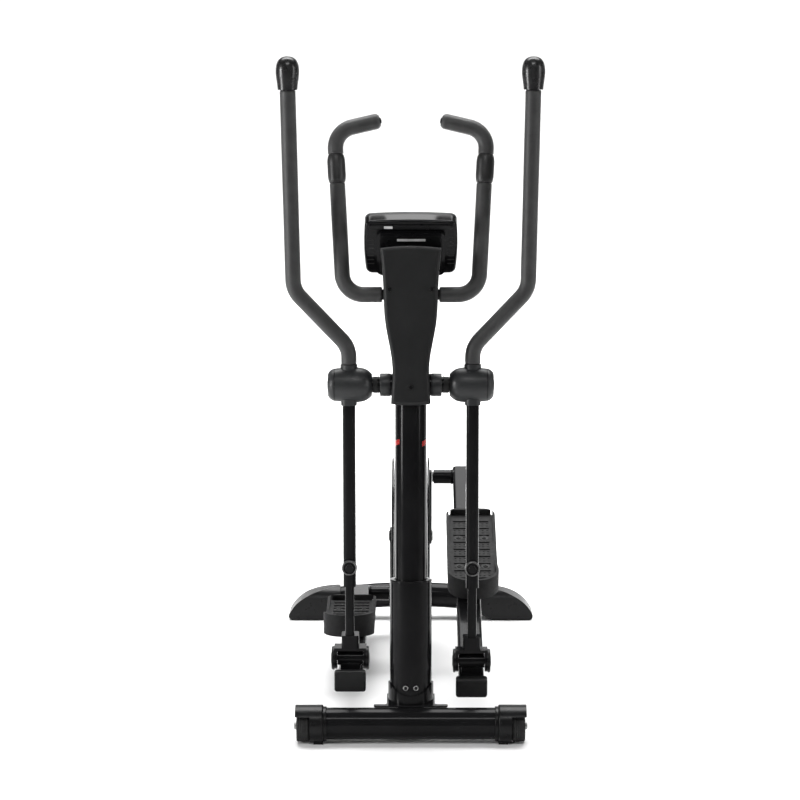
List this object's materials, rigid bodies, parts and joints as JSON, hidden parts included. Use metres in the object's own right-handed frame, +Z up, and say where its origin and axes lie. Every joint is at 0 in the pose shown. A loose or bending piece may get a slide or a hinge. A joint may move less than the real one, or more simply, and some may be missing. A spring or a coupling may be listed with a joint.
{
  "type": "elliptical trainer",
  "caption": "Rear-drive elliptical trainer: swinging foam-covered levers, fixed foam handlebar, console on a waisted cover, foot trays on long bars, belt-driven flywheel",
  "frame": {"origin": "on the floor under the middle of the overall box", "axes": "+Z up, the front with the post faces -Y, +X is the right-hand side seen from the front"},
  "size_m": [0.6908, 1.398, 1.5797],
  "materials": {
    "gloss_black_paint": "gloss",
    "black_plastic": "matte",
    "gloss_black_plastic": "gloss",
    "grey_plastic": "satin",
    "tread_grey": "matte",
    "foam": "matte",
    "zinc_steel": "satin",
    "pin_black": "satin",
    "pulley_aluminium": "satin",
    "flywheel_iron": "satin",
    "wheel_black": "matte",
    "bush_black": "satin",
    "sensor_plastic": "satin",
    "belt_rubber": "matte",
    "display_glass": "gloss",
    "button_red": "gloss"
  },
  "bodies": {
    "frame": {"base_bolts": "zinc_steel", "base_saddle": "gloss_black_paint", "casing_screws": "zinc_steel", "console_back": "gloss_black_plastic", "console_bezel": "black_plastic", "console_window": "display_glass", "crank_bearings": "zinc_steel", "drive_belt": "belt_rubber", "drive_plates": "gloss_black_paint", "fixed_handlebar": "gloss_black_paint", "flywheel_axle": "zinc_steel", "front_cover": "black_plastic", "front_end_caps": "black_plastic", "front_stabilizer": "gloss_black_paint", "housing_left": "black_plastic", "housing_right": "black_plastic", "inner_grip_left": "foam", "inner_grip_right": "foam", "main_beam": "gloss_black_paint", "pivot_axle": "zinc_steel", "pivot_bushings": "bush_black", "post_stub": "gloss_black_paint", "pulse_sensors": "sensor_plastic", "rear_cover": "black_plastic", "rear_foot_caps": "black_plastic", "rear_stabilizer": "gloss_black_paint", "upper_post": "gloss_black_paint", "wheel_axles": "zinc_steel"},
    "crank": {"crank_axle": "zinc_steel", "crank_arms": "gloss_black_paint", "crank_discs": "gloss_black_plastic", "drive_pulley": "pulley_aluminium"},
    "flywheel_body": {"flywheel": "flywheel_iron"},
    "wheel_left_body": {"wheel_left": "wheel_black"},
    "wheel_right_body": {"wheel_right": "wheel_black"},
    "button_body": {"mode_button": "button_red"},
    "left_lever": {"left_handle_tube": "gloss_black_paint", "left_handle_grip": "foam", "left_handle_cap": "black_plastic", "left_pivot_cover": "grey_plastic", "left_lever_tube": "gloss_black_paint", "left_lever_fork": "gloss_black_paint", "left_clamp_bolt": "zinc_steel", "left_joint_pin": "pin_black"},
    "left_bar": {"left_pedal_bar": "gloss_black_paint", "left_crank_pin": "zinc_steel", "left_bar_cap": "black_plastic", "left_pedal": "tread_grey"},
    "right_lever": {"right_handle_tube": "gloss_black_paint", "right_handle_grip": "foam", "right_handle_cap": "black_plastic", "right_pivot_cover": "grey_plastic", "right_lever_tube": "gloss_black_paint", "right_lever_fork": "gloss_black_paint", "right_clamp_bolt": "zinc_steel", "right_joint_pin": "pin_black"},
    "right_bar": {"right_pedal_bar": "gloss_black_paint", "right_crank_pin": "zinc_steel", "right_bar_cap": "black_plastic", "right_pedal": "tread_grey"}
  },
  "joints": [
    {"name": "right_lever_swing", "type": "hinge", "parent": "frame", "child": "right_lever", "pos_m": [0, -0.53348, 0.8218], "axis": [1, 0, 0], "range_deg": [-14, 14]},
    {"name": "left_lever_swing", "type": "hinge", "parent": "frame", "child": "left_lever", "pos_m": [0, -0.53348, 0.8218], "axis": [1, 0, 0], "range_deg": [-14, 14]},
    {"name": "right_bar_tilt", "type": "hinge", "parent": "right_lever", "child": "right_bar", "pos_m": [0, -0.5457, 0.16692], "axis": [1, 0, 0], "range_deg": [-14, 14]},
    {"name": "left_bar_tilt", "type": "hinge", "parent": "left_lever", "child": "left_bar", "pos_m": [0, -0.51801, 0.16698], "axis": [1, 0, 0], "range_deg": [-14, 14]},
    {"name": "crank_turn", "type": "hinge", "parent": "frame", "child": "crank", "pos_m": [0, 0.39, 0.287], "axis": [1, 0, 0], "continuous": true},
    {"name": "flywheel_spin", "type": "hinge", "parent": "frame", "child": "flywheel_body", "pos_m": [0, 0.128, 0.215], "axis": [1, 0, 0], "continuous": true},
    {"name": "wheel_left_spin", "type": "hinge", "parent": "frame", "child": "wheel_left_body", "pos_m": [0, -0.655, 0.039], "axis": [1, 0, 0], "continuous": true},
    {"name": "wheel_right_spin", "type": "hinge", "parent": "frame", "child": "wheel_right_body", "pos_m": [0, -0.655, 0.039], "axis": [1, 0, 0], "continuous": true},
    {"name": "button_press", "type": "slide", "parent": "frame", "child": "button_body", "axis": [0, -0.866, -0.5], "range_m": [0, 0.0015], "stiffness_N_per_m": 600}
  ],
  "couplings": [
    {"joint": "left_lever_swing", "follows": "right_lever_swing", "ratio": -1},
    {"joint": "right_bar_tilt", "follows": "right_lever_swing", "ratio": -1},
    {"joint": "left_bar_tilt", "follows": "right_lever_swing", "ratio": 1},
    {"joint": "crank_turn", "follows": "right_lever_swing", "ratio": -4.3},
    {"joint": "flywheel_spin", "follows": "right_lever_swing", "ratio": -25.595}
  ]
}
